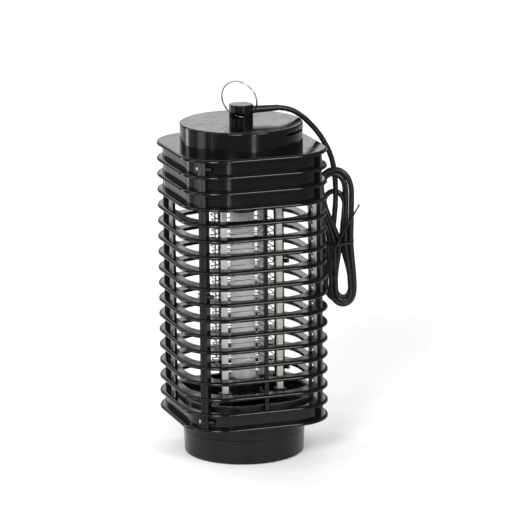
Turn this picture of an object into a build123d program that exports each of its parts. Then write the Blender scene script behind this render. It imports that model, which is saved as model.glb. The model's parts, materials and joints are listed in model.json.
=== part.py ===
from build123d import *
import math
import os

# Plug-in electric insect zapper: a lantern-shaped case in two half shells, a
# lamp inside a cage of live wires, a drop-in collection tray and a tied cord.
# Frame: +Z up, origin at the centre of the tray underside, -Y is the front.

# ---- driving dimensions (mm) ----
FIN_COUNT = 18            # horizontal rings, number 1 at the top
FIN_PITCH = 11.8
FIN_THICK = 2.6
FIN_HALF = 56.0           # half the width across the flats
FIN_CORNER = 31.6
FIN_TOP_EDGE = 2.0        # rounding that sheds the outer top edge
FIN_FOOT_EDGE = 0.4
OPENING_HALF = 48.8       # rounded square opening of the open rings
OPENING_CORNER = 36.5
BOTTOM_OPENING = 47.5     # radius of the round opening in the lowest ring
BOTTOM_FIN_Z = 29.6
JOIN = 0.9                # how far walls and uprights reach into their end rings
SLIDE = 0.1               # clearance of parts dropped into the ring openings

WALL_INSET = 4.8          # rings stand this far proud of the closed walls
WALL = 2.0
WALL_BOTTOM_FIN = 4       # the upper closed wall spans rings 1 to 4
LOW_WALL_FIN = 17         # the lower closed wall spans rings 17 and 18

PILLAR_OUTER = 64.5       # radial reach of the corner pillars
FLANGE_INNER = 58.8
FLANGE_WIDE = 5.9         # both split flanges together
PILLAR_INNER = 61.4
PILLAR_WIDE = 3.2
BAR_OUTER = 53.8          # slim mid-side bars
BAR_INNER = 51.8
BAR_WIDE = 3.0
SPLIT_GAP = 0.3

CAP_RADIUS = 45.2
CAP_TOP_Z = 249.1
CAP_EDGE = 1.4
VENT_HALF_ANGLE = 16.0
VENT_HIGH = 1.8
VENT_DROP = 4.6           # vent centre below the cap top

KNOB_RADIUS = 8.8
KNOB_HIGH = 13.0
KNOB_WALL = 1.8
KNOB_EDGE = 0.6
LEAD_HOLE = 3.8
LEAD_X = 4.9
LEAD_Y = (0.6, 2.1)
LEAD_WIDE = 1.4
WINDOW_LOW = 3.4
WINDOW_HIGH = 7.4
WINDOW_HALF_ANGLE = 44.0
RING_SLOT_LOW = 3.7       # the two side slots that the hanging ring passes through
RING_SLOT_HIGH = 7.5
RING_SLOT_HALF_ANGLE = 10.0

RING_RADIUS = 14.2        # centreline
RING_WIRE = 1.2
RING_AXLE = 5.4           # height of its hinge line above the cap top
RING_CHORD = 7.9          # half the stretch of wire inside the knob wall
RING_LEAN = 13.0          # stored leaning towards the near split corner

SCREW_RADIAL = 62.4
SCREW_SHANK = 1.9
SCREW_HEAD = 4.4
SCREW_HEAD_HIGH = 1.5
SCREW_CLEARANCE = 0.05
BOSS_WIDE = 3.4
BOSS_LONG = 4.6
NEAR_SCREW_GAPS = (1, 9, 17)
FAR_SCREW_GAPS = (1, 9, 16)

TRAY_RADIUS = 45.1
TRAY_FOOT_RADIUS = 44.4
TRAY_HIGH = 18.2
TRAY_WALL = 2.0
TRAY_SEAM = 0.3
TRAY_CLEARANCE = 0.3
SPIGOT_DEEP = 9.0
COLLAR_LIP = 47.4
COLLAR_FLARE = 3.0

POST_AT = 21.3
POST_WIDE = 4.2
POST_FOOT_Z = 46.4
FOOT_WIDE = 8.4
FOOT_TOP_Z = 50.5
GRID_WIRE = 0.8
GRID_PITCH = FIN_PITCH / 3
GRID_COUNT = 29
GRID_LOW_Z = 67.0
GRID_STEP_OUT = 0.5       # the live loops stand this far outside the return loops
BUS_WIRE = 1.2
GRID_BEND = 1.6

LAMP_RADIUS = 9.8
LAMP_GLASS = 0.9
LAMP_LOW_Z = 50.0
LAMP_HIGH_Z = 189.3
LAMP_CAP_LONG = 5.8
LAMP_PIN_LONG = 5.0
LAMP_PIN_WIDE = 2.0
LAMP_PIN_AT = 3.5
SOCKET_LOW_RADIUS = 12.2
SOCKET_LOW_TOP = 56.4
SOCKET_HIGH_RADIUS = 12.0
SOCKET_HIGH_BOTTOM = 182.8

BASE_HUB_RADIUS = 14.0
BASE_THICK = 5.0
BASE_FRAME_WIDE = 3.0
RIB_LONG = 52.0
RIB_WIDE = 2.0
RIB_SPREAD = 3.4
FUNNEL_RIM = 47.4
FUNNEL_MOUTH = 33.0
FUNNEL_SHEET = 1.6

BOARD = (66.0, 50.0, 1.6)
BOARD_HOLES = (56.0, 40.0)
STANDOFF_HIGH = 4.6
STANDOFF_RADIUS = 3.0
CORE_AT = -14.0           # the coil stands to the -X side of the board
CORE_SIZE = (20.0, 22.0, 16.0)
CORE_WINDOW = (12.0, 3.2)
CORE_WINDOW_AT = 7.5
WINDING_SIZE = (16.0, 16.0, 5.0)
WINDING_LIFT = 1.0        # winding above the core
CAPACITOR_SPOTS = ((8, 13), (8, -13), (21, 13))
CAPACITOR_RADIUS = 5.0
CAPACITOR_HIGH = 14.0
DIODE_COUNT = 4
DIODE_RADIUS = 1.35
DIODE_LONG = 5.2
DIODE_X = 18.0
DIODE_FIRST_Y = -9.0
DIODE_PITCH = 5.0

CORD_WIDE = 4.0
RELIEF_LONG = 20.0
RELIEF_BASE = 5.6
CORD_HIGH = 8.2           # cord axis above the cap top

HANK_U = (0.948, -0.317)  # sideways direction of the hank's broad face
HANK_W = (0.317, 0.948)   # through its thickness
HANK_THICK = 10.0
HANK_DEPTH = 20.0         # distance of its middle plane along HANK_W

PLUG_SIZE = (19.0, 12.0, 22.0)
BLADE_SIZE = (6.3, 1.5, 16.0)
BLADE_GAP = 12.7


# ---- derived levels ----
def fin_z(number):
    """Underside of a ring, counted from the top."""
    return BOTTOM_FIN_Z + FIN_PITCH * (FIN_COUNT - number)


def gap_z(number):
    """Middle of the gap below a ring."""
    return fin_z(number) - (FIN_PITCH - FIN_THICK) / 2


def around(radius, degrees):
    """Point on a circle, measured from -Y towards +X."""
    turn = math.radians(degrees)
    return (radius * math.sin(turn), -radius * math.cos(turn))


def hank_point(u, w, z):
    """Point given along the hank's own directions."""
    return (HANK_U[0] * u + HANK_W[0] * w, HANK_U[1] * u + HANK_W[1] * w, z)


CEILING_Z = fin_z(WALL_BOTTOM_FIN)
CEILING_THICK = 2.0
TOP_PLATE_Z = fin_z(1) + FIN_THICK
BASE_Z = fin_z(LOW_WALL_FIN)
NEAR = -45.0              # azimuths of the split corners
FAR = 135.0
SPLIT_NORMAL = (1, -1, 0)
DIAGONAL_ACROSS = (-1, 1, 0)
DROP_IN_HALF = OPENING_HALF - SLIDE
DROP_IN_CORNER = OPENING_CORNER - SLIDE

os.makedirs("parts", exist_ok=True)
written = []


def save(build, label):
    build.part.label = label
    export_step(build.part, f"parts/{label}.step")
    written.append(label)


# ---- case ----
def make_fin():
    """One uncut ring at z = 0, its top edge rounded so that it sheds water."""
    with BuildPart() as fin:
        with BuildSketch(Plane.XY):
            RectangleRounded(2 * FIN_HALF, 2 * FIN_HALF, FIN_CORNER)
        extrude(amount=FIN_THICK)
        rims = fin.edges().group_by(Axis.Z)
        fillet(rims[0], FIN_FOOT_EDGE)
        fillet(rims[-1], FIN_TOP_EDGE)
    return fin.part


def is_round(edge, radius):
    return edge.geom_type == GeomType.CIRCLE and abs(edge.radius - radius) < 0.01


def radial_plane(degrees, z):
    """Plane whose x runs outward at this azimuth and whose z is up."""
    out = around(1.0, degrees)
    return Plane(origin=(0, 0, z), x_dir=(out[0], out[1], 0), z_dir=(0, 0, 1))


def screw_plane(degrees, z):
    """Plane on the screw axis in the split, its z towards the screw head."""
    spot = around(SCREW_RADIAL, degrees)
    return Plane(origin=(spot[0], spot[1], z), z_dir=DIAGONAL_ACROSS)


def screw_places():
    near = [(NEAR, gap_z(gap)) for gap in NEAR_SCREW_GAPS]
    far = [(FAR, gap_z(gap)) for gap in FAR_SCREW_GAPS]
    return near + far


def upright(degrees, inner, outer, wide, low, high):
    with BuildPart() as bar:
        with BuildSketch(radial_plane(degrees, low)):
            with Locations(((inner + outer) / 2, 0)):
                Rectangle(outer - inner, wide)
        extrude(amount=high - low)
    return bar.part


def closed_wall(low, high):
    half = FIN_HALF - WALL_INSET
    corner = FIN_CORNER - WALL_INSET
    with BuildPart() as wall:
        with BuildSketch(Plane.XY.offset(low)):
            RectangleRounded(2 * half, 2 * half, corner)
            RectangleRounded(2 * (half - WALL), 2 * (half - WALL), corner - WALL, mode=Mode.SUBTRACT)
        extrude(amount=high - low)
    return wall.part


def arc_cutter(low, high, inner, outer, start, end):
    """Solid that opens a round wall between two azimuths."""
    middle = (start + end) / 2
    reach = outer / math.cos(math.radians((end - start) / 4))
    corners = [around(inner, start), around(reach, start), around(reach, middle), around(reach, end)]
    with BuildPart() as cutter:
        with BuildSketch(Plane.XY.offset(low)):
            with BuildLine():
                Polyline(*corners, around(inner, end), close=True)
            make_face()
        extrude(amount=high - low)
    return cutter.part


def case_uprights():
    """Corner pillars and mid-side bars that carry the rings."""
    low = BOTTOM_FIN_Z + JOIN
    high = fin_z(1) + JOIN
    bars = [upright(corner, FLANGE_INNER, PILLAR_OUTER, FLANGE_WIDE, low, high) for corner in (NEAR, FAR)]
    bars += [upright(corner, PILLAR_INNER, PILLAR_OUTER, PILLAR_WIDE, low, high) for corner in (45.0, 225.0)]
    bars += [
        upright(side, BAR_INNER, BAR_OUTER, BAR_WIDE, BASE_Z + JOIN, CEILING_Z + JOIN)
        for side in (0.0, 90.0, 180.0, 270.0)
    ]
    return bars


def case_openings():
    """Windows of the knob and vent slots of the cap."""
    low = CAP_TOP_Z + WINDOW_LOW
    high = CAP_TOP_Z + WINDOW_HIGH
    inner = KNOB_RADIUS - KNOB_WALL - 1
    outer = KNOB_RADIUS + 1
    cutters = [
        arc_cutter(low, high, inner, outer, NEAR - WINDOW_HALF_ANGLE, NEAR + WINDOW_HALF_ANGLE),
    ]
    for middle in (45.0, 225.0):
        start = middle - RING_SLOT_HALF_ANGLE
        end = middle + RING_SLOT_HALF_ANGLE
        cutters.append(arc_cutter(CAP_TOP_Z + RING_SLOT_LOW, CAP_TOP_Z + RING_SLOT_HIGH, inner, outer, start, end))
    vent = CAP_TOP_Z - VENT_DROP
    for middle in (45.0, 225.0):
        start = middle - VENT_HALF_ANGLE
        end = middle + VENT_HALF_ANGLE
        inner = CAP_RADIUS - WALL - 1
        cutters.append(arc_cutter(vent - VENT_HIGH / 2, vent + VENT_HIGH / 2, inner, CAP_RADIUS + 1, start, end))
    return cutters


def make_case():
    fin = make_fin()
    walls = [
        closed_wall(CEILING_Z + JOIN, fin_z(1) + JOIN),
        closed_wall(BOTTOM_FIN_Z + JOIN, BASE_Z + JOIN),
    ]
    uprights = case_uprights()
    openings = case_openings()
    with BuildPart() as case:
        for number in range(1, FIN_COUNT + 1):
            add(fin.moved(Location((0, 0, fin_z(number)))))
        # openings: round in the end rings, rounded square in the others
        for level, radius in ((BOTTOM_FIN_Z, BOTTOM_OPENING), (fin_z(1), CAP_RADIUS - WALL)):
            with BuildSketch(Plane.XY.offset(level)):
                Circle(radius)
            extrude(amount=FIN_THICK, mode=Mode.SUBTRACT)
        with BuildSketch(Plane.XY.offset(BASE_Z)):
            RectangleRounded(2 * OPENING_HALF, 2 * OPENING_HALF, OPENING_CORNER)
        extrude(amount=fin_z(2) + FIN_THICK - BASE_Z, mode=Mode.SUBTRACT)
        add(walls)
        add(uprights)
        # cap drum with its top
        with BuildSketch(Plane.XY.offset(fin_z(1))):
            Circle(CAP_RADIUS)
            Circle(CAP_RADIUS - WALL, mode=Mode.SUBTRACT)
        extrude(amount=CAP_TOP_Z - fin_z(1))
        with BuildSketch(Plane.XY.offset(CAP_TOP_Z - WALL)):
            Circle(CAP_RADIUS)
        extrude(amount=WALL)
        fillet(case.faces().sort_by(Axis.Z)[-1].edges(), CAP_EDGE)
        # knob drum, hollow, closed on top; its seam lies at -X, clear of the openings
        knob_foot = Plane(origin=(0, 0, CAP_TOP_Z - WALL), x_dir=(-1, 0, 0), z_dir=(0, 0, 1))
        with BuildSketch(knob_foot):
            Circle(KNOB_RADIUS)
        extrude(amount=KNOB_HIGH + WALL)
        fillet(case.faces().sort_by(Axis.Z)[-1].edges(), KNOB_EDGE)
        with BuildSketch(knob_foot.offset(WALL)):
            Circle(KNOB_RADIUS - KNOB_WALL)
        extrude(amount=KNOB_HIGH - WALL, mode=Mode.SUBTRACT)
        add(openings, mode=Mode.SUBTRACT)
        # holes for the strain relief and the leads
        with BuildSketch(Plane.YZ.offset(KNOB_RADIUS - KNOB_WALL - 1)):
            with Locations((0, CAP_TOP_Z + CORD_HIGH)):
                Circle(RELIEF_BASE / 2)
        extrude(amount=KNOB_WALL + 2, mode=Mode.SUBTRACT)
        with BuildSketch(Plane.XY.offset(CAP_TOP_Z - WALL)):
            with Locations((LEAD_X, sum(LEAD_Y) / 2)):
                Circle(LEAD_HOLE / 2)
        extrude(amount=WALL, mode=Mode.SUBTRACT)
        # screw bosses, their holes and the room for the heads
        for degrees, z in screw_places():
            with BuildSketch(screw_plane(degrees, z)):
                Circle(BOSS_WIDE / 2)
            extrude(amount=-(FLANGE_WIDE / 2 + BOSS_LONG))
        for degrees, z in screw_places():
            head_seat = screw_plane(degrees, z).offset(FLANGE_WIDE / 2)
            with BuildSketch(head_seat):
                Circle(SCREW_SHANK / 2 + SCREW_CLEARANCE)
            extrude(amount=-(FLANGE_WIDE + BOSS_LONG - 1), mode=Mode.SUBTRACT)
            with BuildSketch(head_seat):
                Circle(SCREW_HEAD / 2 + 2 * SCREW_CLEARANCE)
            extrude(amount=SCREW_HEAD_HIGH + SCREW_CLEARANCE, mode=Mode.SUBTRACT)
    return case.part


def build_case():
    whole = make_case()
    for label, side in (("case_half_front", 1), ("case_half_rear", -1)):
        shift = side * SPLIT_GAP / 2 / math.sqrt(2)
        with BuildPart() as half:
            add(whole)
            split(
                bisect_by=Plane(origin=(shift, -shift, 0), z_dir=SPLIT_NORMAL),
                keep=Keep.TOP if side > 0 else Keep.BOTTOM,
            )
        print(label, "valid", half.part.is_valid, "volume", round(half.part.volume))
        save(half, label)


def build_case_screws():
    for index, (degrees, z) in enumerate(screw_places(), start=1):
        with BuildPart() as screw:
            with BuildSketch(screw_plane(degrees, z)):
                Circle(SCREW_SHANK / 2)
            extrude(amount=FLANGE_WIDE / 2)
            with BuildSketch(screw_plane(degrees, z)):
                Circle(SCREW_SHANK / 2)
            extrude(amount=-(FLANGE_WIDE / 2 + BOSS_LONG - 1.5))
            head_plane = screw_plane(degrees, z).offset(FLANGE_WIDE / 2)
            with BuildSketch(head_plane):
                Circle(SCREW_HEAD / 2)
            extrude(amount=SCREW_HEAD_HIGH)
            with BuildSketch(head_plane.offset(SCREW_HEAD_HIGH)):
                Rectangle(SCREW_HEAD * 0.7, 0.6)
                Rectangle(0.6, SCREW_HEAD * 0.7)
            extrude(amount=-0.8, mode=Mode.SUBTRACT)
        save(screw, f"case_screw_{index}")


def build_hanging_ring():
    """Wire ring that turns about the line through the knob's two side slots."""
    lean = math.radians(RING_LEAN)
    towards = around(1.0, NEAR)
    hinge = Vector(0, 0, CAP_TOP_Z + RING_AXLE)
    sideways = Vector(-towards[1], towards[0], 0)
    rise = Vector(towards[0] * math.sin(lean), towards[1] * math.sin(lean), math.cos(lean))
    centre = hinge + rise * math.sqrt(RING_RADIUS**2 - RING_CHORD**2)
    facing = sideways.cross(rise)
    with BuildPart() as ring:
        with BuildSketch(Plane(origin=centre, x_dir=sideways, z_dir=rise)):
            with Locations((RING_RADIUS, 0)):
                Circle(RING_WIRE / 2)
        revolve(axis=Axis(centre, facing), revolution_arc=360)
    save(ring, "hanging_ring")
    print("ring hinge", hinge, "axis", sideways, "centre", centre)


# ---- cage, lamp and their carriers ----
def build_ceiling_plate():
    with BuildPart() as plate:
        with BuildSketch(Plane.XY.offset(CEILING_Z)):
            RectangleRounded(2 * DROP_IN_HALF, 2 * DROP_IN_HALF, DROP_IN_CORNER)
        extrude(amount=CEILING_THICK)
        with BuildSketch(Plane.XY.offset(CEILING_Z + CEILING_THICK)):
            with GridLocations(BOARD_HOLES[0], BOARD_HOLES[1], 2, 2):
                Circle(STANDOFF_RADIUS)
        extrude(amount=STANDOFF_HIGH)
        with BuildSketch(Plane.XY.offset(CEILING_Z)):
            with GridLocations(BOARD_HOLES[0], BOARD_HOLES[1], 2, 2):
                Circle(1.2)
            with GridLocations(2 * LAMP_PIN_AT, 0, 2, 1):
                Circle(LAMP_PIN_WIDE / 2 + 0.2)
        extrude(amount=CEILING_THICK + STANDOFF_HIGH, mode=Mode.SUBTRACT)
    save(plate, "ceiling_plate")


def build_grid_posts():
    spots = [(x, y) for x in (-POST_AT, POST_AT) for y in (-POST_AT, POST_AT)]
    for index, (x, y) in enumerate(spots, start=1):
        with BuildPart() as post:
            with BuildSketch(Plane.XY.offset(POST_FOOT_Z)):
                with Locations((x, y)):
                    RectangleRounded(POST_WIDE, POST_WIDE, 0.9)
            extrude(amount=CEILING_Z - POST_FOOT_Z)
        save(post, f"grid_post_{index}")


def build_electrode(label, first, reach, bus_spot):
    heights = [GRID_LOW_Z + GRID_PITCH * step for step in range(first, GRID_COUNT, 2)]
    with BuildSketch(Plane.XY) as outline:
        RectangleRounded(2 * reach, 2 * reach, GRID_BEND)
    path = outline.sketch.face().outer_wire()
    with BuildPart() as loop:
        with BuildSketch(Plane(origin=path @ 0, z_dir=path % 0)):
            Circle(GRID_WIRE / 2)
        sweep(path=path)
    with BuildPart() as electrode:
        for height in heights:
            add(loop.part.moved(Location((0, 0, height))))
        with BuildSketch(Plane.XY.offset(heights[0] - 3)):
            with Locations(bus_spot):
                Circle(BUS_WIRE / 2)
        extrude(amount=CEILING_Z - heights[0] + 3)
    save(electrode, label)


def build_electrodes():
    """Both windings lie against the inner faces of the posts."""
    outer = POST_AT - POST_WIDE / 2 - GRID_WIRE / 2
    inner = outer - GRID_STEP_OUT
    join = (GRID_WIRE + BUS_WIRE) / 2 - 0.15
    build_electrode("grid_wire_live", 0, outer, (POST_AT - 6, outer + join))
    build_electrode("grid_wire_return", 1, inner, (6 - POST_AT, inner - join))


def build_lamp():
    with BuildPart() as tube:
        with BuildSketch(Plane.XZ):
            with BuildLine():
                low = LAMP_LOW_Z + 0.6
                high = LAMP_HIGH_Z - 0.6
                Polyline(
                    (0, low), (LAMP_RADIUS - 0.6, low), (LAMP_RADIUS - 0.6, high), (0, high),
                    (0, high - LAMP_GLASS), (LAMP_RADIUS - 0.6 - LAMP_GLASS, high - LAMP_GLASS),
                    (LAMP_RADIUS - 0.6 - LAMP_GLASS, low + LAMP_GLASS), (0, low + LAMP_GLASS),
                    close=True,
                )
            make_face()
        revolve(axis=Axis.Z)
    save(tube, "lamp_tube")
    for label, floor, inward in (("lamp_cap_lower", LAMP_LOW_Z, 1), ("lamp_cap_upper", LAMP_HIGH_Z, -1)):
        with BuildPart() as cap:
            with BuildSketch(Plane.XY.offset(floor)):
                Circle(LAMP_RADIUS)
            extrude(amount=inward * LAMP_CAP_LONG)
            with BuildSketch(Plane.XY.offset(floor + inward * 0.6)):
                Circle(LAMP_RADIUS - 0.6)
            extrude(amount=inward * LAMP_CAP_LONG, mode=Mode.SUBTRACT)
        save(cap, label)
    ends = [(LAMP_LOW_Z, -1), (LAMP_HIGH_Z, 1)]
    pins = [(floor, out, x) for floor, out in ends for x in (-LAMP_PIN_AT, LAMP_PIN_AT)]
    for index, (floor, out, x) in enumerate(pins, start=1):
        with BuildPart() as pin:
            with BuildSketch(Plane.XY.offset(floor)):
                with Locations((x, 0)):
                    Circle(LAMP_PIN_WIDE / 2)
            extrude(amount=out * LAMP_PIN_LONG)
            fillet(pin.faces().sort_by(Axis.Z)[-1 if out > 0 else 0].edges(), 0.5)
        save(pin, f"lamp_pin_{index}")


def build_socket(label, low, high, radius, mouth_up, floor_z):
    with BuildPart() as socket:
        with BuildSketch(Plane.XY.offset(low)):
            Circle(radius)
        extrude(amount=high - low)
        mouth = socket.faces().sort_by(Axis.Z)[-1 if mouth_up else 0]
        fillet(mouth.edges(), 0.8)
        depth = high - floor_z if mouth_up else floor_z - low
        start = floor_z if mouth_up else low
        with BuildSketch(Plane.XY.offset(start)):
            Circle(LAMP_RADIUS + 0.1)
        extrude(amount=depth, mode=Mode.SUBTRACT)
        with BuildSketch(Plane.XY.offset(low)):
            with GridLocations(2 * LAMP_PIN_AT, 0, 2, 1):
                Circle(LAMP_PIN_WIDE / 2 + 0.1)
        extrude(amount=high - low, mode=Mode.SUBTRACT)
    save(socket, label)


def build_grid_base():
    top = BASE_Z + BASE_THICK
    with BuildPart() as base:
        with BuildSketch(Plane.XY.offset(BASE_Z)):
            RectangleRounded(2 * DROP_IN_HALF, 2 * DROP_IN_HALF, DROP_IN_CORNER)
            RectangleRounded(
                2 * (DROP_IN_HALF - BASE_FRAME_WIDE), 2 * (DROP_IN_HALF - BASE_FRAME_WIDE),
                DROP_IN_CORNER - BASE_FRAME_WIDE, mode=Mode.SUBTRACT,
            )
            Circle(BASE_HUB_RADIUS)
            for degrees in (45.0, 135.0, 225.0, 315.0):
                with Locations(Rot(0, 0, degrees)):
                    with Locations((RIB_LONG / 2, RIB_SPREAD / 2), (RIB_LONG / 2, -RIB_SPREAD / 2)):
                        Rectangle(RIB_LONG, RIB_WIDE)
        extrude(amount=BASE_THICK)
        with BuildSketch(Plane.XY.offset(BASE_Z)):
            with GridLocations(2 * POST_AT, 2 * POST_AT, 2, 2):
                RectangleRounded(FOOT_WIDE, FOOT_WIDE, 1.2)
        extrude(amount=FOOT_TOP_Z - BASE_Z)
        with BuildSketch(Plane.XY.offset(POST_FOOT_Z)):
            with GridLocations(2 * POST_AT, 2 * POST_AT, 2, 2):
                RectangleRounded(POST_WIDE + 0.1, POST_WIDE + 0.1, 0.9)
        extrude(amount=FOOT_TOP_Z - POST_FOOT_Z, mode=Mode.SUBTRACT)
        with BuildSketch(Plane.XY.offset(BASE_Z)):
            with GridLocations(2 * LAMP_PIN_AT, 0, 2, 1):
                Circle(LAMP_PIN_WIDE / 2 + 0.1)
        extrude(amount=top - BASE_Z, mode=Mode.SUBTRACT)
    save(base, "grid_base")


def build_funnel_floor():
    low = BOTTOM_FIN_Z + FIN_THICK + 0.6
    high = BASE_Z - 0.4
    with BuildPart() as funnel:
        with BuildSketch(Plane.XZ):
            with BuildLine():
                Polyline(
                    (FUNNEL_RIM, high), (FUNNEL_RIM - 2, high), (FUNNEL_MOUTH, low + FUNNEL_SHEET),
                    (FUNNEL_MOUTH, low), (FUNNEL_RIM, high - FUNNEL_SHEET - 0.6), close=True,
                )
            make_face()
        revolve(axis=Axis.Z)
    save(funnel, "funnel_floor")


# ---- collar and tray ----
def build_tray_collar():
    seat = TRAY_HIGH + TRAY_SEAM
    bore = TRAY_RADIUS - TRAY_WALL - TRAY_CLEARANCE - 2.0
    spigot = TRAY_RADIUS - TRAY_WALL - TRAY_CLEARANCE
    under = BOTTOM_FIN_Z
    with BuildPart() as collar:
        with BuildSketch(Plane.XZ):
            with BuildLine():
                Line((bore, seat - SPIGOT_DEEP), (spigot, seat - SPIGOT_DEEP))
                Line((spigot, seat - SPIGOT_DEEP), (spigot, seat))
                Line((spigot, seat), (TRAY_RADIUS, seat))
                Line((TRAY_RADIUS, seat), (TRAY_RADIUS, under - COLLAR_FLARE))
                RadiusArc((TRAY_RADIUS, under - COLLAR_FLARE), (TRAY_RADIUS + COLLAR_FLARE, under), COLLAR_FLARE)
                Line((TRAY_RADIUS + COLLAR_FLARE, under), (COLLAR_LIP, under))
                Line((COLLAR_LIP, under), (COLLAR_LIP, under + FIN_THICK))
                Line((COLLAR_LIP, under + FIN_THICK), (bore, under + FIN_THICK))
                Line((bore, under + FIN_THICK), (bore, seat - SPIGOT_DEEP))
            make_face()
        revolve(axis=Axis.Z)
    save(collar, "tray_collar")


def build_collection_tray():
    inner = TRAY_RADIUS - TRAY_WALL
    with BuildPart() as tray:
        with BuildSketch(Plane.XZ):
            with BuildLine():
                Polyline(
                    (0, 0), (TRAY_FOOT_RADIUS, 0), (TRAY_RADIUS, TRAY_HIGH), (inner, TRAY_HIGH),
                    (inner - 0.4, TRAY_WALL), (0, TRAY_WALL),
                    close=True,
                )
            make_face()
        revolve(axis=Axis.Z)
        foot = tray.edges().filter_by(lambda e: is_round(e, TRAY_FOOT_RADIUS))
        fillet(foot, 2.0)
    save(tray, "collection_tray")


# ---- electronics above the ceiling plate ----
BOARD_Z = CEILING_Z + CEILING_THICK + STANDOFF_HIGH
BOARD_TOP = BOARD_Z + BOARD[2]


def build_board():
    with BuildPart() as board:
        with BuildSketch(Plane.XY.offset(BOARD_Z)):
            RectangleRounded(BOARD[0], BOARD[1], 2)
            with GridLocations(BOARD_HOLES[0], BOARD_HOLES[1], 2, 2):
                Circle(1.6, mode=Mode.SUBTRACT)
        extrude(amount=BOARD[2])
    save(board, "circuit_board")
    spots = [(x * BOARD_HOLES[0] / 2, y * BOARD_HOLES[1] / 2) for x in (-1, 1) for y in (-1, 1)]
    for index, spot in enumerate(spots, start=1):
        with BuildPart() as screw:
            with BuildSketch(Plane.XY.offset(BOARD_TOP - 6)):
                with Locations(spot):
                    Circle(1.1)
            extrude(amount=6)
            with BuildSketch(Plane.XY.offset(BOARD_TOP)):
                with Locations(spot):
                    Circle(2.5)
            extrude(amount=1.7)
            fillet(screw.faces().sort_by(Axis.Z)[-1].edges(), 0.7)
        save(screw, f"board_screw_{index}")


def build_components():
    with BuildPart() as core:
        with BuildSketch(Plane.XY.offset(BOARD_TOP)):
            with Locations((CORE_AT, 0)):
                Rectangle(CORE_SIZE[0], CORE_SIZE[1])
                with Locations((0, CORE_WINDOW_AT), (0, -CORE_WINDOW_AT)):
                    Rectangle(CORE_WINDOW[0], CORE_WINDOW[1], mode=Mode.SUBTRACT)
        extrude(amount=CORE_SIZE[2])
    save(core, "coil_core")
    with BuildPart() as winding:
        with BuildSketch(Plane.XY.offset(BOARD_TOP + CORE_SIZE[2] + WINDING_LIFT)):
            with Locations((CORE_AT, 0)):
                RectangleRounded(WINDING_SIZE[0], WINDING_SIZE[1], 3)
        extrude(amount=WINDING_SIZE[2])
    save(winding, "coil_winding")
    for index, spot in enumerate(CAPACITOR_SPOTS, start=1):
        with BuildPart() as capacitor:
            with BuildSketch(Plane.XY.offset(BOARD_TOP)):
                with Locations(spot):
                    Circle(CAPACITOR_RADIUS)
            extrude(amount=CAPACITOR_HIGH)
            fillet(capacitor.faces().sort_by(Axis.Z)[-1].edges(), 0.8)
        save(capacitor, f"capacitor_{index}")
    for index in range(DIODE_COUNT):
        with BuildPart() as diode:
            with BuildSketch(Plane.YZ.offset(DIODE_X)):
                with Locations((DIODE_FIRST_Y + DIODE_PITCH * index, BOARD_TOP + DIODE_RADIUS + 0.05)):
                    Circle(DIODE_RADIUS)
            extrude(amount=DIODE_LONG)
        save(diode, f"diode_{index + 1}")


def build_leads():
    """Two insulated cores from the strain relief down to the board."""
    for label, y, foot in (("mains_lead_live", LEAD_Y[0], -2.0), ("mains_lead_neutral", LEAD_Y[1], 5.0)):
        route = [
            (RELIEF_START, y, CORD_Z),
            (LEAD_X, y, CORD_Z),
            (LEAD_X, y, CAP_TOP_Z - 12),
            (3.0, foot, BOARD_TOP),
        ]
        with BuildPart() as lead:
            with BuildLine():
                path = FilletPolyline(*route, radius=[1.0, 10.0])
            with BuildSketch(Plane(origin=route[0], z_dir=(-1, 0, 0))):
                Circle(LEAD_WIDE / 2)
            sweep(path=path)
        save(lead, label)


# ---- cord ----
RELIEF_START = KNOB_RADIUS - KNOB_WALL - 1.0
RELIEF_END = KNOB_RADIUS + RELIEF_LONG
CORD_Z = CAP_TOP_Z + CORD_HIGH
CORD_ROUTE = [
    (RELIEF_END, 0, CORD_Z),
    (37.3, -0.1, 256.2),
    (46.4, -0.5, 250.8),
    (55.0, -1.0, 242.3),
    (62.6, -1.6, 232.0),
    (68.5, -2.3, 220.2),
    (71.5, -2.7, 207.8),
]


def turn_radii(route):
    radii = []
    for before, here, after in zip(route, route[1:], route[2:]):
        into = Vector(*here) - Vector(*before)
        out = Vector(*after) - Vector(*here)
        half = math.radians(into.get_angle(out)) / 2
        radii.append(0.45 * min(into.length, out.length) / math.tan(half))
    return radii


def build_tube(label, route, wide, least):
    radii = turn_radii(route)
    with BuildPart() as tube:
        with BuildLine():
            path = FilletPolyline(*route, radius=radii)
        with BuildSketch(Plane(origin=route[0], z_dir=Vector(*route[1]) - Vector(*route[0]))):
            Circle(wide / 2)
        sweep(path=path)
    length = sum(edge.length for edge in path.edges())
    expected = math.pi * (wide / 2) ** 2 * length
    print(label, "length", round(length, 1), "radii", [round(r, 1) for r in radii], "least wanted", least)
    print(label, "volume", round(tube.part.volume, 1), "section x length", round(expected, 1))
    save(tube, label)


def build_cord():
    with BuildPart() as relief:
        with BuildSketch(Plane.YZ.offset(RELIEF_START)):
            with Locations((0, CORD_Z)):
                Circle(RELIEF_BASE / 2)
        extrude(amount=KNOB_RADIUS - RELIEF_START + 1)
        with BuildSketch(Plane.YZ.offset(KNOB_RADIUS + 1)):
            with Locations((0, CORD_Z)):
                Circle(RELIEF_BASE / 2)
        with BuildSketch(Plane.YZ.offset(RELIEF_END)):
            with Locations((0, CORD_Z)):
                Circle(CORD_WIDE / 2 + 0.2)
        loft()
    save(relief, "strain_relief")
    build_tube("power_cord", CORD_ROUTE, CORD_WIDE, 5 * CORD_WIDE)


def hank_plane(w):
    origin = hank_point(0, w, 0)
    return Plane(origin=origin, x_dir=(HANK_U[0], HANK_U[1], 0), z_dir=(HANK_W[0], HANK_W[1], 0))


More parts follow.
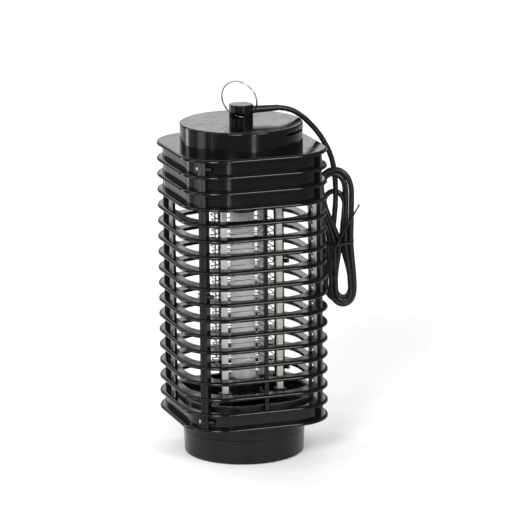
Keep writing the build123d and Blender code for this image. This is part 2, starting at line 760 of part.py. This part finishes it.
HANK_TOP = 211.0
HANK_TIE = 153.0
HANK_BOTTOM = 105.0
UPPER_LOBE = (70.0, 14.0)     # centre and half width
LOWER_LOBE = (72.6, 13.0)
WAIST = (71.4, 10.0)


def build_hank():
    # seen square on, its local y runs downward because z_dir is horizontal
    plane = hank_plane(HANK_DEPTH - HANK_THICK / 2)
    up = plane.y_dir.Z
    upper_mid = (HANK_TOP + HANK_TIE - 4) / 2
    lower_mid = (HANK_BOTTOM + HANK_TIE + 4) / 2
    with BuildPart() as hank:
        with BuildSketch(plane):
            with Locations((UPPER_LOBE[0], up * upper_mid)):
                Ellipse(UPPER_LOBE[1], HANK_TOP - upper_mid)
            with Locations((LOWER_LOBE[0], up * lower_mid)):
                Ellipse(LOWER_LOBE[1], lower_mid - HANK_BOTTOM)
            with Locations((WAIST[0], up * HANK_TIE)):
                Rectangle(2 * WAIST[1], 24)
        extrude(amount=HANK_THICK)
    save(hank, "cord_hank")


TIE_GAUGE = 1.1
TIE_BEND = 2.2
TIE_DROP = 1.0                # the tie sits this far below the hank's narrowest point
KNOT_U = 69.5
KNOT_RADIUS = 1.5
KNOT_HALF_DEPTH = 1.6
TAIL_TIP = (86.0, 180.0)      # across and up


def build_twist_tie():
    reach = WAIST[1] + TIE_GAUGE / 2
    deep = HANK_THICK / 2 + TIE_GAUGE / 2
    middle = hank_point(WAIST[0], HANK_DEPTH, HANK_TIE - TIE_DROP)
    with BuildSketch(Plane(origin=middle, x_dir=(HANK_U[0], HANK_U[1], 0), z_dir=(0, 0, 1))) as waist:
        RectangleRounded(2 * reach, 2 * deep, TIE_BEND)
    path = waist.sketch.face().outer_wire()
    tail_foot = hank_point(KNOT_U, HANK_DEPTH - deep - TIE_GAUGE, HANK_TIE - 2 * TIE_DROP)
    tail_top = hank_point(TAIL_TIP[0], HANK_DEPTH - deep - TIE_GAUGE, TAIL_TIP[1])
    with BuildPart() as tie:
        with BuildSketch(Plane(origin=path @ 0, z_dir=path % 0)):
            Circle(TIE_GAUGE / 2)
        sweep(path=path)
        with BuildLine() as tail:
            Line(tail_foot, tail_top)
        with BuildSketch(Plane(origin=tail_foot, z_dir=Vector(*tail_top) - Vector(*tail_foot))):
            Circle(TIE_GAUGE / 2)
        sweep(path=tail.wires()[0])
        with BuildSketch(Plane(origin=tail_foot, z_dir=(HANK_W[0], HANK_W[1], 0))):
            Circle(KNOT_RADIUS)
        extrude(amount=KNOT_HALF_DEPTH, both=True)
    save(tie, "twist_tie")


PLUG_U = 60.0
PLUG_W = 41.0
PLUG_TOP = 147.0
PLUG_RELIEF = 12.0
PLUG_ROUTE = [
    (PLUG_U, HANK_DEPTH + HANK_THICK / 2, 176.0),
    (PLUG_U, 32.0, 176.3),
    (PLUG_U + 0.3, 38.0, 172.6),
    (PLUG_U + 0.2, 40.9, 166.2),
    (PLUG_U, PLUG_W, PLUG_TOP + PLUG_RELIEF),
]


def build_plug():
    build_tube("plug_lead", [hank_point(*p) for p in PLUG_ROUTE], CORD_WIDE, 3 * CORD_WIDE)
    spot = hank_point(PLUG_U, PLUG_W, 0)
    frame_top = Plane(origin=(spot[0], spot[1], PLUG_TOP), x_dir=(HANK_W[0], HANK_W[1], 0), z_dir=(0, 0, 1))
    with BuildPart() as plug:
        with BuildSketch(frame_top.offset(-PLUG_SIZE[2])):
            RectangleRounded(PLUG_SIZE[0], PLUG_SIZE[1], 3)
        with BuildSketch(frame_top.offset(-PLUG_SIZE[2] * 0.35)):
            RectangleRounded(PLUG_SIZE[0] * 0.9, PLUG_SIZE[1] * 0.95, 3)
        with BuildSketch(frame_top):
            RectangleRounded(PLUG_SIZE[0] * 0.55, PLUG_SIZE[1] * 0.7, 2.5)
        loft()
        with BuildSketch(frame_top):
            Circle(3.2)
        with BuildSketch(frame_top.offset(PLUG_RELIEF)):
            Circle(CORD_WIDE / 2 + 0.2)
        loft()
    save(plug, "plug_body")
    face = frame_top.offset(-PLUG_SIZE[2])
    for index, side in enumerate((-1, 1), start=1):
        with BuildPart() as blade:
            with BuildSketch(face):
                with Locations((side * BLADE_GAP / 2, 0)):
                    Rectangle(BLADE_SIZE[1], BLADE_SIZE[0])
            extrude(amount=-BLADE_SIZE[2])
            tip = blade.faces().sort_by(Axis.Z)[0]
            chamfer(tip.edges(), 0.4)
        save(blade, f"plug_blade_{index}")


build_case()
build_case_screws()
build_hanging_ring()
build_ceiling_plate()
build_grid_posts()
build_electrodes()
build_lamp()
build_socket("lower_lamp_socket", BASE_Z + BASE_THICK, SOCKET_LOW_TOP, SOCKET_LOW_RADIUS, True, LAMP_LOW_Z)
build_socket("upper_lamp_socket", SOCKET_HIGH_BOTTOM, CEILING_Z, SOCKET_HIGH_RADIUS, False, LAMP_HIGH_Z)
build_grid_base()
build_funnel_floor()
build_tray_collar()
build_collection_tray()
build_board()
build_components()
build_leads()
build_cord()
build_hank()
build_twist_tie()
build_plug()
print(len(written), "nodes")
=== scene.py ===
import json
import math

import bmesh
import bpy
from mathutils import Matrix, Vector


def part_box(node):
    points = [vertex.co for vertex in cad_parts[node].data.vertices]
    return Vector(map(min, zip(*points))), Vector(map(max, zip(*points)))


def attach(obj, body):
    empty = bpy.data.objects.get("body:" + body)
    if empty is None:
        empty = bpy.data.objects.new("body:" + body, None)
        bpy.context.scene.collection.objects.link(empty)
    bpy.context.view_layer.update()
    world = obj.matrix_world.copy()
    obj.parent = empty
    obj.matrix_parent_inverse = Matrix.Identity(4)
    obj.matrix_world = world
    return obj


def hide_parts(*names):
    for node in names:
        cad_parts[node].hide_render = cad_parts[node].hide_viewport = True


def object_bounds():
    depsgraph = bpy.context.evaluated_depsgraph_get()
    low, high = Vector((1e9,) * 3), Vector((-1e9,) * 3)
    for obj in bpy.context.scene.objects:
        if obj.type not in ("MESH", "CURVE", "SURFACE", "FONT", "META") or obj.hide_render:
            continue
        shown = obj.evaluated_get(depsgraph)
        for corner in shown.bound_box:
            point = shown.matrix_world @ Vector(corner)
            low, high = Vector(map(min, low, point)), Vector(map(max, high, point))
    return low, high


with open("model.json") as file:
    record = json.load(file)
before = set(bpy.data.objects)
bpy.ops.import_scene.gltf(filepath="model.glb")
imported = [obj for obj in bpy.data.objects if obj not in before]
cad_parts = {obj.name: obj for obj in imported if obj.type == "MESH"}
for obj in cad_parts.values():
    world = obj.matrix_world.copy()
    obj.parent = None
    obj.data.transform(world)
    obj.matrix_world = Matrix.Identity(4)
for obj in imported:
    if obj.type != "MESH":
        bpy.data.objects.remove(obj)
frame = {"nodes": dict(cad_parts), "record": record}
cad_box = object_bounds()
nodes = frame["nodes"]
MM = 0.001

# ---- camera and cord facts, in millimetres ----
CAMERA_AZIMUTH = -18.5          # from -Y towards +X
CAMERA_ELEVATION = 13.54
CAMERA_DISTANCE = 2725.0
CAMERA_PIVOT = (0, 0, 140)
CAMERA_PAN = 0.00476
CAMERA_TILT = 0.00163
CAMERA_ROLL = -0.558
CAMERA_LENS = 255.4
SENSOR = 36.0

CORD_WIDE = 4.0
HANK_U = Vector((0.948, -0.317, 0))
HANK_W = Vector((0.317, 0.948, 0))
HANK_TIE = 153.0
PLUG_U = 60.0
PLUG_W = 41.0


# ---- camera ----
def make_camera():
    azimuth = math.radians(CAMERA_AZIMUTH)
    elevation = math.radians(CAMERA_ELEVATION)
    back = Vector((
        math.sin(azimuth) * math.cos(elevation),
        -math.cos(azimuth) * math.cos(elevation),
        math.sin(elevation),
    ))
    right = Vector((math.cos(azimuth), math.sin(azimuth), 0))
    up = back.cross(right)
    place = (Vector(CAMERA_PIVOT) + back * CAMERA_DISTANCE) * MM
    ahead = (-back + right * CAMERA_PAN + up * CAMERA_TILT).normalized()
    across = ahead.cross(up).normalized()
    above = across.cross(ahead)
    roll = math.radians(CAMERA_ROLL)
    turned_across = across * math.cos(roll) + above * math.sin(roll)
    turned_above = above * math.cos(roll) - across * math.sin(roll)
    data = bpy.data.cameras.new("camera")
    data.lens = CAMERA_LENS
    data.sensor_width = SENSOR
    data.clip_end = 20
    camera = bpy.data.objects.new("camera", data)
    axes = Matrix((turned_across, turned_above, -ahead)).transposed()
    camera.matrix_world = Matrix.Translation(place) @ axes.to_4x4()
    bpy.context.scene.collection.objects.link(camera)
    bpy.context.scene.camera = camera


# ---- node material helpers ----
class Paint:
    """A material with object coordinates in metres and a principled shader."""

    def __init__(self, name):
        self.material = bpy.data.materials.new(name)
        self.material.use_nodes = True
        self.tree = self.material.node_tree
        self.shader = self.tree.nodes["Principled BSDF"]
        self.coordinates = self.tree.nodes.new("ShaderNodeTexCoord").outputs["Object"]

    def link(self, source, target):
        self.tree.links.new(source, target)

    def noise(self, scale, detail=3.0, stretch=(1, 1, 1), rough=0.5):
        mapping = self.tree.nodes.new("ShaderNodeMapping")
        mapping.inputs["Scale"].default_value = stretch
        self.link(self.coordinates, mapping.inputs["Vector"])
        texture = self.tree.nodes.new("ShaderNodeTexNoise")
        texture.inputs["Scale"].default_value = scale
        texture.inputs["Detail"].default_value = detail
        texture.inputs["Roughness"].default_value = rough
        self.link(mapping.outputs["Vector"], texture.inputs["Vector"])
        return texture.outputs["Fac"]

    def span(self, source, low, high, start=0.3, end=0.7):
        node = self.tree.nodes.new("ShaderNodeMapRange")
        node.inputs["From Min"].default_value = start
        node.inputs["From Max"].default_value = end
        node.inputs["To Min"].default_value = low
        node.inputs["To Max"].default_value = high
        self.link(source, node.inputs["Value"])
        return node.outputs["Result"]

    def blend(self, source, dark, light):
        ramp = self.tree.nodes.new("ShaderNodeValToRGB")
        ramp.color_ramp.elements[0].position = 0.3
        ramp.color_ramp.elements[0].color = (*dark, 1)
        ramp.color_ramp.elements[1].position = 0.7
        ramp.color_ramp.elements[1].color = (*light, 1)
        self.link(source, ramp.inputs["Fac"])
        return ramp.outputs["Color"]

    def multiply(self, first, second):
        node = self.tree.nodes.new("ShaderNodeMath")
        node.operation = "MULTIPLY"
        self.link(first, node.inputs[0])
        self.link(second, node.inputs[1])
        return node.outputs["Value"]

    def add(self, first, second):
        node = self.tree.nodes.new("ShaderNodeMath")
        node.operation = "ADD"
        self.link(first, node.inputs[0])
        self.link(second, node.inputs[1])
        return node.outputs["Value"]

    def bump(self, height, strength, distance):
        node = self.tree.nodes.new("ShaderNodeBump")
        node.inputs["Strength"].default_value = strength
        node.inputs["Distance"].default_value = distance
        self.link(height, node.inputs["Height"])
        self.link(node.outputs["Normal"], self.shader.inputs["Normal"])


def moulded_plastic(name, dark, light, gloss, spread, texture_scale, depth, shine):
    """Injection-moulded plastic with slight flow mottling and a fine surface texture."""
    paint = Paint(name)
    flow = paint.noise(35, 4, (1, 1, 0.35))
    paint.link(paint.blend(flow, dark, light), paint.shader.inputs["Base Color"])
    smear = paint.noise(140, 5, (1, 1, 0.5), 0.6)
    paint.link(paint.span(smear, gloss - spread, gloss + spread), paint.shader.inputs["Roughness"])
    fine = paint.noise(texture_scale, 6)
    broad = paint.noise(60, 2)
    height = paint.add(paint.span(fine, 0, 0.25), paint.span(broad, 0, 1.0))
    paint.bump(height, 0.25, depth)
    paint.shader.inputs["Specular IOR Level"].default_value = shine
    paint.shader.inputs["IOR"].default_value = 1.5
    return paint.material


def drawn_metal(name, dark, light, gloss, spread, stretch, scale):
    """Metal with fine drawing lines and a slightly uneven surface."""
    paint = Paint(name)
    paint.shader.inputs["Metallic"].default_value = 1.0
    stain = paint.noise(70, 4)
    paint.link(paint.blend(stain, dark, light), paint.shader.inputs["Base Color"])
    lines = paint.noise(scale, 4, stretch)
    paint.link(paint.span(lines, gloss - spread, gloss + spread), paint.shader.inputs["Roughness"])
    paint.bump(lines, 0.12, 0.00004)
    return paint.material


def lamp_glass():
    """Frosted tube: pale powder coat inside, smooth glass outside, with painted shade darkening both ends.
    """
    paint = Paint("lamp_glass")
    powder = paint.noise(260, 6, (1, 1, 0.6))
    ends = paint.tree.nodes.new("ShaderNodeSeparateXYZ")
    paint.link(paint.coordinates, ends.inputs["Vector"])
    low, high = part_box("lamp_tube")
    # painted shade: the base colour is darkened towards both ends of the tube, more at the bottom
    painted_shade_bottom = paint.span(ends.outputs["Z"], 0.55, 1.0, low.z, low.z + 0.022)
    painted_shade_top = paint.span(ends.outputs["Z"], 1.0, 0.62, high.z - 0.022, high.z)
    tone = paint.blend(powder, (0.83, 0.83, 0.83), (0.92, 0.92, 0.91))
    shade = paint.tree.nodes.new("ShaderNodeMix")
    shade.data_type = "RGBA"
    shade.blend_type = "MULTIPLY"
    shade.inputs[0].default_value = 1.0
    paint.link(tone, shade.inputs[6])
    paint.link(paint.multiply(painted_shade_bottom, painted_shade_top), shade.inputs[7])
    paint.link(shade.outputs[2], paint.shader.inputs["Base Color"])
    paint.link(paint.span(powder, 0.10, 0.22), paint.shader.inputs["Roughness"])
    paint.shader.inputs["Transmission Weight"].default_value = 0.2
    paint.shader.inputs["IOR"].default_value = 1.45
    paint.shader.inputs["Coat Weight"].default_value = 0.8
    paint.shader.inputs["Coat Roughness"].default_value = 0.04
    paint.bump(powder, 0.05, 0.00003)
    return paint.material


def board_laminate():
    paint = Paint("board_laminate")
    weave = paint.noise(1400, 2, (1, 0.2, 1))
    traces = paint.noise(120, 1, (1, 0.15, 1))
    pattern = paint.add(paint.span(weave, 0, 0.3), paint.span(traces, 0, 0.6))
    tone = paint.blend(pattern, (0.03, 0.10, 0.04), (0.07, 0.21, 0.09))
    paint.link(tone, paint.shader.inputs["Base Color"])
    paint.link(paint.span(weave, 0.3, 0.5), paint.shader.inputs["Roughness"])
    paint.bump(weave, 0.2, 0.00005)
    return paint.material


def cord_jacket():
    """Black PVC with a faint extrusion grain and the dull sheen of handled cable."""
    paint = Paint("cord_jacket")
    tone = paint.noise(180, 4)
    colour = paint.blend(tone, (0.003, 0.003, 0.0032), (0.007, 0.007, 0.0072))
    paint.link(colour, paint.shader.inputs["Base Color"])
    grain = paint.noise(2200, 3)
    paint.link(paint.span(tone, 0.24, 0.34), paint.shader.inputs["Roughness"])
    paint.bump(grain, 0.18, 0.00005)
    paint.shader.inputs["Specular IOR Level"].default_value = 0.3
    return paint.material


def floor_paint():
    paint = Paint("floor_paint")
    grain = paint.noise(60, 4)
    colour = paint.blend(grain, (0.90, 0.90, 0.90), (0.92, 0.92, 0.92))
    paint.link(colour, paint.shader.inputs["Base Color"])
    paint.link(paint.span(grain, 0.55, 0.65), paint.shader.inputs["Roughness"])
    return paint.material


# slot: dark and light colour, roughness and its spread, grain scale, grain depth, specular level
PLASTICS = {
    "case_plastic": ((0.0028, 0.0028, 0.0029), (0.0046, 0.0044, 0.0044), 0.15, 0.05, 1500, 0.00006, 0.2),
    "tray_plastic": ((0.0034, 0.0034, 0.0035), (0.0060, 0.0058, 0.0057), 0.20, 0.06, 1500, 0.00006, 0.2),
    "inner_plastic": ((0.004, 0.004, 0.004), (0.008, 0.008, 0.008), 0.30, 0.07, 1800, 0.00008, 0.28),
    "post_plastic": ((0.76, 0.72, 0.65), (0.85, 0.81, 0.74), 0.38, 0.08, 1600, 0.00005, 0.5),
    "ferrite": ((0.030, 0.030, 0.030), (0.070, 0.068, 0.066), 0.55, 0.10, 1200, 0.0001, 0.5),
    "capacitor_sleeve": ((0.012, 0.018, 0.060), (0.030, 0.042, 0.120), 0.22, 0.05, 1500, 0.00005, 0.5),
    "diode_case": ((0.012, 0.012, 0.012), (0.030, 0.030, 0.030), 0.45, 0.08, 2000, 0.00008, 0.5),
    "lead_brown": ((0.10, 0.035, 0.015), (0.18, 0.07, 0.03), 0.35, 0.06, 2500, 0.00004, 0.5),
    "lead_blue": ((0.02, 0.06, 0.22), (0.04, 0.11, 0.34), 0.35, 0.06, 2500, 0.00004, 0.5),
    "tie_plastic": ((0.003, 0.003, 0.003), (0.007, 0.007, 0.007), 0.34, 0.06, 2500, 0.00004, 0.3),
    "plug_plastic": ((0.004, 0.004, 0.004), (0.008, 0.008, 0.008), 0.36, 0.06, 2200, 0.00008, 0.3),
}
# slot: dark and light colour, roughness and its spread, stretch of the drawing lines, their scale
METALS = {
    "screw_steel": ((0.20, 0.20, 0.20), (0.36, 0.355, 0.34), 0.28, 0.10, (1, 1, 1), 700),
    "ring_wire": ((0.34, 0.34, 0.34), (0.48, 0.48, 0.48), 0.22, 0.08, (1, 1, 1), 1200),
    "grid_wire": ((0.20, 0.20, 0.20), (0.32, 0.32, 0.32), 0.24, 0.08, (0.3, 0.3, 1), 1500),
    "lamp_cap": ((0.60, 0.60, 0.60), (0.76, 0.76, 0.77), 0.30, 0.08, (0.2, 0.2, 3), 900),
    "pin_brass": ((0.50, 0.36, 0.16), (0.72, 0.56, 0.28), 0.28, 0.08, (1, 1, 0.2), 900),
    "copper": ((0.45, 0.18, 0.08), (0.70, 0.33, 0.16), 0.30, 0.10, (1, 1, 6), 600),
    "blade_brass": ((0.52, 0.44, 0.24), (0.74, 0.66, 0.42), 0.22, 0.07, (1, 1, 0.3), 900),
}
MATERIALS = {
    "lamp_glass": lamp_glass(),
    "board": board_laminate(),
    "cord_jacket": cord_jacket(),
}
MATERIALS.update({slot: moulded_plastic(slot, *values) for slot, values in PLASTICS.items()})
MATERIALS.update({slot: drawn_metal(slot, *values) for slot, values in METALS.items()})


def dress(obj, slot):
    obj.data.materials.clear()
    obj.data.materials.append(MATERIALS[slot])


def dress_cad_nodes():
    slots = {part["node"]: part["material_slot"] for part in frame["record"]["subparts"]}
    for name, obj in nodes.items():
        dress(obj, slots[name])
        for polygon in obj.data.polygons:
            polygon.use_smooth = True


# ---- cord: free stretch, hank and the lead into the plug, one spline ----
FREE_ROUTE = [
    (28.8, 0, 257.3), (37.3, -0.1, 256.2), (46.4, -0.5, 250.6), (55.1, -1.0, 242.2), (62.7, -1.6, 232.0),
    (68.6, -2.3, 220.3), (71.6, -2.7, 207.8),
]
# where each strand passes the tie, across and through the bundle, going down and coming up
DOWN_AT_TIE = [(66.2, 20.4), (68.6, 17.2), (72.6, 17.2), (65.0, 23.2)]
UP_AT_TIE = [(80.6, 17.6), (76.6, 17.4), (78.4, 21.8), (73.8, 22.4)]
# each loop's left and right reach, its end, and its depth in the bundle
LOWER_LOOPS = [
    (66.0, 83.4, 105.8, 18.4),
    (69.2, 80.6, 108.8, 17.2),
    (68.6, 82.0, 110.4, 21.4),
    (61.6, 81.4, 108.0, 23.0),
]
UPPER_LOOPS = [
    (56.0, 81.4, 208.8, 17.2),
    (58.0, 77.2, 205.2, 18.2),
    (60.2, 76.4, 191.4, 21.2),
    (58.4, 77.0, 204.2, 22.8),
]
# height along a loop, and the share of its reach against the tie's
CLIMB = ((0.22, 0.3), (0.5, 0.75))
LOOP_BEND = 0.8                 # how far from its end a loop starts to bend, in half widths
LAST_STRAND = [(59.0, 23.2, 187.0), (59.6, 24.2, 180.0)]
PLUG_ROUTE = [
    (PLUG_U, 27.4, 176.4), (PLUG_U, 32.0, 176.3), (PLUG_U + 0.3, 38.0, 172.6), (PLUG_U + 0.2, 40.9, 166.2),
    (PLUG_U, PLUG_W, 159.0),
]


def hank_point(u, w, z):
    spot = HANK_U * u + HANK_W * w
    return (spot.x, spot.y, z)


def half_loop(enter, leave, reach, sign):
    """Points from one tie crossing out to the loop's end and back to the next."""
    left, right, end, depth = reach
    near, far = (left, right) if sign < 0 else (right, left)
    tall = end - HANK_TIE
    bend = sign * LOOP_BEND * (right - left) / 2
    out = [(*enter, HANK_TIE)]
    back = []
    for height, share in CLIMB:
        level = HANK_TIE + tall * height
        out.append((enter[0] + (near - enter[0]) * share, enter[1] + (depth - enter[1]) * share, level))
        back.append((leave[0] + (far - leave[0]) * share, leave[1] + (depth - leave[1]) * share, level))
    out.append((near, depth, end - bend))
    out += [(near + (far - near) * across, depth, end) for across in (0.29, 0.71)]
    back.append((far, depth, end - bend))
    return out + back[::-1]


def hank_route():
    route = [(69.8, 19.8, 190.0), (68.6, 20.2, 172.0)]
    for turn, down in enumerate(DOWN_AT_TIE):
        up = UP_AT_TIE[turn]
        after = DOWN_AT_TIE[(turn + 1) % len(DOWN_AT_TIE)]
        route += half_loop(down, up, LOWER_LOOPS[turn], -1)
        route += half_loop(up, after, UPPER_LOOPS[turn], 1)
    route = route[:-len(CLIMB)] + LAST_STRAND
    return [hank_point(*point) for point in route]


def nurbs_tube(name, points, wide):
    curve = bpy.data.curves.new(name, "CURVE")
    curve.dimensions = "3D"
    spline = curve.splines.new("NURBS")
    spline.points.add(len(points) - 1)
    for point, place in zip(spline.points, points):
        point.co = (*(value * MM for value in place), 1)
    spline.order_u = 3
    spline.use_endpoint_u = True
    spline.resolution_u = 6
    curve.bevel_depth = wide / 2 * MM
    curve.bevel_resolution = 5
    curve.use_fill_caps = True
    tube = bpy.data.objects.new(name, curve)
    bpy.context.scene.collection.objects.link(tube)
    return tube


def make_cord(ties):
    route = FREE_ROUTE + hank_route() + [hank_point(*point) for point in PLUG_ROUTE]
    cord = nurbs_tube("power_cord_run", route, CORD_WIDE)
    dress(cord, "cord_jacket")
    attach(cord, "case")
    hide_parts("power_cord", "cord_hank", "plug_lead")


# ---- twist tie: a wire in a plastic strip, wound once round the waist and twisted in front ----
TIE_WIDE = 1.5
TIE_U = (60.9, 81.9)            # left and right reach of the band
TIE_W = (13.9, 26.1)            # front and back of the band
TIE_Z = 152.0
TIE_KNOT = (69.5, 12.9)
TIE_EAR = 1.5                   # radius of the small folds at both sides
TAIL_END = (87.0, 183.0)


def tie_band():
    """Once round the bundle, with a small upright fold at each side."""
    left, right = TIE_U
    front, back = TIE_W
    knot_u, knot_w = TIE_KNOT
    band = [
        (knot_u, knot_w, TIE_Z + 0.6), (left + 4.0, front - 0.2, TIE_Z + 0.2),
        (left + 0.6, front + 0.8, TIE_Z),
    ]
    for step in range(5):
        turn = math.radians(90 * step)
        rise = TIE_Z + TIE_EAR * (1 - math.cos(turn)) * 0.6
        band.append((left - TIE_EAR * abs(math.sin(turn)) * 0.5, front + 2.4 + 0.7 * step, rise))
    band += [(left + 0.4, back - 1.6, TIE_Z), (left + 4.0, back, TIE_Z), (right - 4.0, back, TIE_Z + 0.4)]
    for step in range(5):
        turn = math.radians(90 * step)
        rise = TIE_Z + 1.0 + TIE_EAR * (1 - math.cos(turn)) * 0.7
        band.append((right + TIE_EAR * abs(math.sin(turn)) * 0.4, back - 2.4 - 1.6 * step, rise))
    band += [(right - 1.0, front + 0.2, TIE_Z + 1.6), (right - 5.0, front - 0.4, TIE_Z + 1.0)]
    band.append((knot_u + 0.4, knot_w, TIE_Z - 0.4))
    return [hank_point(*point) for point in band]


def tie_twist():
    """The two ends twisted round each other, one of them running on as the straight tail."""
    knot_u, knot_w = TIE_KNOT
    tail_u, tail_z = TAIL_END
    steps = 14
    twisted = []
    for step in range(steps + 1):
        turn = math.radians(150 * step)
        along = step / steps
        twisted.append((
            knot_u - 1.6 + 3.6 * along + 0.7 * math.cos(turn),
            knot_w - 0.5 + 0.7 * math.sin(turn),
            TIE_Z - 3.6 + 6.4 * along,
        ))
    tail = [
        (knot_u + (tail_u - knot_u) * share, knot_w - 0.3, TIE_Z + (tail_z - TIE_Z) * share)
        for share in (0.3, 0.65)
    ]
    tail.append((tail_u, knot_w - 0.1, tail_z))
    return [hank_point(*point) for point in twisted + tail]


def make_tie():
    pieces = [
        nurbs_tube("tie_band", tie_band(), TIE_WIDE),
        nurbs_tube("tie_tail", tie_twist(), TIE_WIDE * 0.8),
    ]
    for piece in pieces:
        dress(piece, "tie_plastic")
        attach(piece, "case")
        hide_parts("twist_tie")
    return pieces


# ---- stage ----
def make_floor():
    mesh = bpy.data.meshes.new("floor")
    build = bmesh.new()
    bmesh.ops.create_grid(build, x_segments=8, y_segments=8, size=4)
    build.to_mesh(mesh)
    build.free()
    floor = bpy.data.objects.new("floor", mesh)
    floor.location.z = cad_box[0][2]
    bpy.context.scene.collection.objects.link(floor)
    floor.data.materials.append(floor_paint())


def soft_light(name, place, size, power, aim=(0, 0, 0.14), spread=180):
    data = bpy.data.lights.new(name, "AREA")
    data.shape = "RECTANGLE"
    data.size, data.size_y = size
    data.energy = power
    data.spread = math.radians(spread)
    light = bpy.data.objects.new(name, data)
    light.location = place
    light.rotation_euler = (Vector(aim) - Vector(place)).to_track_quat("-Z", "Y").to_euler()
    light.visible_camera = False
    bpy.context.scene.collection.objects.link(light)


def standing_strip(name, turn, away, wide, power):
    """Upright strip light beside the object, its foot on the floor; turn is counted from the camera."""
    azimuth = math.radians(CAMERA_AZIMUTH + turn)
    tall = 1.2
    place = (away * math.sin(azimuth), -away * math.cos(azimuth), tall / 2 + 0.01)
    soft_light(name, place, (wide, tall), power, (0, 0, tall / 2 + 0.01))


def light_stage():
    world = bpy.data.worlds.new("studio")
    world.use_nodes = True
    world.node_tree.nodes["Background"].inputs["Color"].default_value = (1, 1, 1, 1)
    world.node_tree.nodes["Background"].inputs["Strength"].default_value = 0.22
    bpy.context.scene.world = world
    bpy.context.scene.view_settings.view_transform = "Standard"
    soft_light("key", (-1.1, -1.5, 1.15), (0.7, 0.7), 3.2, spread=50)
    soft_light("fill", (0.7, -1.7, 1.1), (0.6, 0.6), 2.0, spread=50)
    soft_light("top", (0.5, 1.8, 2.1), (2.8, 2.6), 24, (0.5, 1.8, 0), 90)
    soft_light("back_panel", (0.3, 2.2, 1.0), (1.8, 0.8), 6.5)
    standing_strip("strip_right", 23, 0.85, 0.08, 2.6)
    standing_strip("strip_far_left", -119, 0.95, 0.14, 3.2)
    standing_strip("strip_left", -78, 0.9, 0.26, 3.0)
    standing_strip("strip_near_left", -53, 0.9, 0.08, 2.0)


make_camera()
make_cord(make_tie())
dress_cad_nodes()
make_floor()
light_stage()

bpy.context.view_layer.update()
